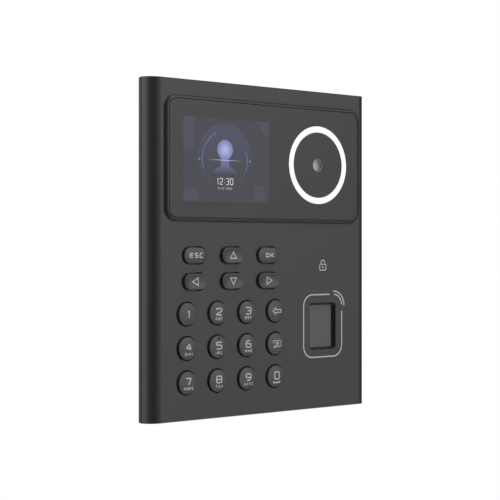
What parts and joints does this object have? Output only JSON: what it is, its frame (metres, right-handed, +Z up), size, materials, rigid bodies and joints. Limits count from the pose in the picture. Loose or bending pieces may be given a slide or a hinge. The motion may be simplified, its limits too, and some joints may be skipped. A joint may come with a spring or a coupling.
{
  "type": "fingerprint scanner terminal",
  "caption": "Wall-mounted access terminal with a colour screen, a face camera in a ring light, a push-button keypad and a recessed fingerprint reader.",
  "frame": {"origin": "on the wall plate's back face, which lies on the wall, directly behind the middle of the front face", "axes": "+Z up, +X to the right as seen from the front, +Y into the wall; the front faces -Y"},
  "size_m": [0.1288, 0.0305, 0.15],
  "materials": {
    "housing": "fine satin texture",
    "keycap": "satin",
    "seal": "soft black",
    "glass": "hard coated, smooth",
    "print": "printed film behind the glass",
    "display": "lit screen",
    "diffuser": "translucent white, lit",
    "lamp": "lamp with a yellow phosphor",
    "lens": "coated lens",
    "black_plastic": "moulded",
    "white_plastic": "moulded",
    "silicone": "silicone",
    "steel": "zinc plated",
    "gold": "gold flash",
    "board": "solder mask",
    "white_board": "white solder mask",
    "flex": "polyimide ribbon",
    "sensor": "coated sensor surface",
    "antenna": "blue solder mask",
    "can": "sleeved can",
    "label": "blank printed label"
  },
  "bodies": {
    "terminal": {"front_shell": "housing", "mid_frame": "housing", "rear_cover": "housing", "housing_seal": "seal", "window_bezel": "housing", "window_glass": "glass", "window_mask": "print", "display_panel": "display", "display_holder": "white_plastic", "display_flex": "flex", "ring_diffuser": "diffuser", "ring_light_board": "white_board", "ring_leds": "lamp", "camera_shroud": "housing", "camera_lens": "lens", "camera_barrel": "black_plastic", "camera_holder": "black_plastic", "camera_board": "board", "keypad_mat": "silicone", "key_domes": "steel", "keypad_board": "board", "fingerprint_platen": "sensor", "fingerprint_frame": "black_plastic", "fingerprint_module": "black_plastic", "fingerprint_flex": "flex", "card_antenna": "antenna", "main_board": "board", "processor_shield": "steel", "door_relay": "black_plastic", "capacitors": "can", "battery_holder": "black_plastic", "clock_battery": "steel", "speaker": "black_plastic", "tamper_switch": "black_plastic", "rear_headers": "white_plastic", "header_pins": "gold", "wall_plate": "steel", "locking_screw": "steel", "housing_screws": "steel", "internal_screws": "steel", "rating_label": "label"},
    "key_esc_cap": {"key_esc": "keycap"},
    "key_up_cap": {"key_up": "keycap"},
    "key_ok_cap": {"key_ok": "keycap"},
    "key_left_cap": {"key_left": "keycap"},
    "key_down_cap": {"key_down": "keycap"},
    "key_right_cap": {"key_right": "keycap"},
    "key_1_cap": {"key_1": "keycap"},
    "key_2_cap": {"key_2": "keycap"},
    "key_3_cap": {"key_3": "keycap"},
    "key_back_cap": {"key_back": "keycap"},
    "key_4_cap": {"key_4": "keycap"},
    "key_5_cap": {"key_5": "keycap"},
    "key_6_cap": {"key_6": "keycap"},
    "key_menu_cap": {"key_menu": "keycap"},
    "key_7_cap": {"key_7": "keycap"},
    "key_8_cap": {"key_8": "keycap"},
    "key_9_cap": {"key_9": "keycap"},
    "key_0_cap": {"key_0": "keycap"},
    "plunger": {"tamper_plunger": "white_plastic"}
  },
  "joints": [
    {"name": "press_esc", "type": "slide", "parent": "terminal", "child": "key_esc_cap", "axis": [0, 1, 0], "range_m": [0, 0.0009], "stiffness_N_per_m": 1400, "springref_m": -0.0002},
    {"name": "press_up", "type": "slide", "parent": "terminal", "child": "key_up_cap", "axis": [0, 1, 0], "range_m": [0, 0.0009], "stiffness_N_per_m": 1400, "springref_m": -0.0002},
    {"name": "press_ok", "type": "slide", "parent": "terminal", "child": "key_ok_cap", "axis": [0, 1, 0], "range_m": [0, 0.0009], "stiffness_N_per_m": 1400, "springref_m": -0.0002},
    {"name": "press_left", "type": "slide", "parent": "terminal", "child": "key_left_cap", "axis": [0, 1, 0], "range_m": [0, 0.0009], "stiffness_N_per_m": 1400, "springref_m": -0.0002},
    {"name": "press_down", "type": "slide", "parent": "terminal", "child": "key_down_cap", "axis": [0, 1, 0], "range_m": [0, 0.0009], "stiffness_N_per_m": 1400, "springref_m": -0.0002},
    {"name": "press_right", "type": "slide", "parent": "terminal", "child": "key_right_cap", "axis": [0, 1, 0], "range_m": [0, 0.0009], "stiffness_N_per_m": 1400, "springref_m": -0.0002},
    {"name": "press_1", "type": "slide", "parent": "terminal", "child": "key_1_cap", "axis": [0, 1, 0], "range_m": [0, 0.0009], "stiffness_N_per_m": 1400, "springref_m": -0.0002},
    {"name": "press_2", "type": "slide", "parent": "terminal", "child": "key_2_cap", "axis": [0, 1, 0], "range_m": [0, 0.0009], "stiffness_N_per_m": 1400, "springref_m": -0.0002},
    {"name": "press_3", "type": "slide", "parent": "terminal", "child": "key_3_cap", "axis": [0, 1, 0], "range_m": [0, 0.0009], "stiffness_N_per_m": 1400, "springref_m": -0.0002},
    {"name": "press_back", "type": "slide", "parent": "terminal", "child": "key_back_cap", "axis": [0, 1, 0], "range_m": [0, 0.0009], "stiffness_N_per_m": 1400, "springref_m": -0.0002},
    {"name": "press_4", "type": "slide", "parent": "terminal", "child": "key_4_cap", "axis": [0, 1, 0], "range_m": [0, 0.0009], "stiffness_N_per_m": 1400, "springref_m": -0.0002},
    {"name": "press_5", "type": "slide", "parent": "terminal", "child": "key_5_cap", "axis": [0, 1, 0], "range_m": [0, 0.0009], "stiffness_N_per_m": 1400, "springref_m": -0.0002},
    {"name": "press_6", "type": "slide", "parent": "terminal", "child": "key_6_cap", "axis": [0, 1, 0], "range_m": [0, 0.0009], "stiffness_N_per_m": 1400, "springref_m": -0.0002},
    {"name": "press_menu", "type": "slide", "parent": "terminal", "child": "key_menu_cap", "axis": [0, 1, 0], "range_m": [0, 0.0009], "stiffness_N_per_m": 1400, "springref_m": -0.0002},
    {"name": "press_7", "type": "slide", "parent": "terminal", "child": "key_7_cap", "axis": [0, 1, 0], "range_m": [0, 0.0009], "stiffness_N_per_m": 1400, "springref_m": -0.0002},
    {"name": "press_8", "type": "slide", "parent": "terminal", "child": "key_8_cap", "axis": [0, 1, 0], "range_m": [0, 0.0009], "stiffness_N_per_m": 1400, "springref_m": -0.0002},
    {"name": "press_9", "type": "slide", "parent": "terminal", "child": "key_9_cap", "axis": [0, 1, 0], "range_m": [0, 0.0009], "stiffness_N_per_m": 1400, "springref_m": -0.0002},
    {"name": "press_0", "type": "slide", "parent": "terminal", "child": "key_0_cap", "axis": [0, 1, 0], "range_m": [0, 0.0009], "stiffness_N_per_m": 1400, "springref_m": -0.0002},
    {"name": "tamper_release", "type": "slide", "parent": "terminal", "child": "plunger", "axis": [0, 1, 0], "range_m": [0, 0.0015], "stiffness_N_per_m": 300, "springref_m": 0.002}
  ]
}
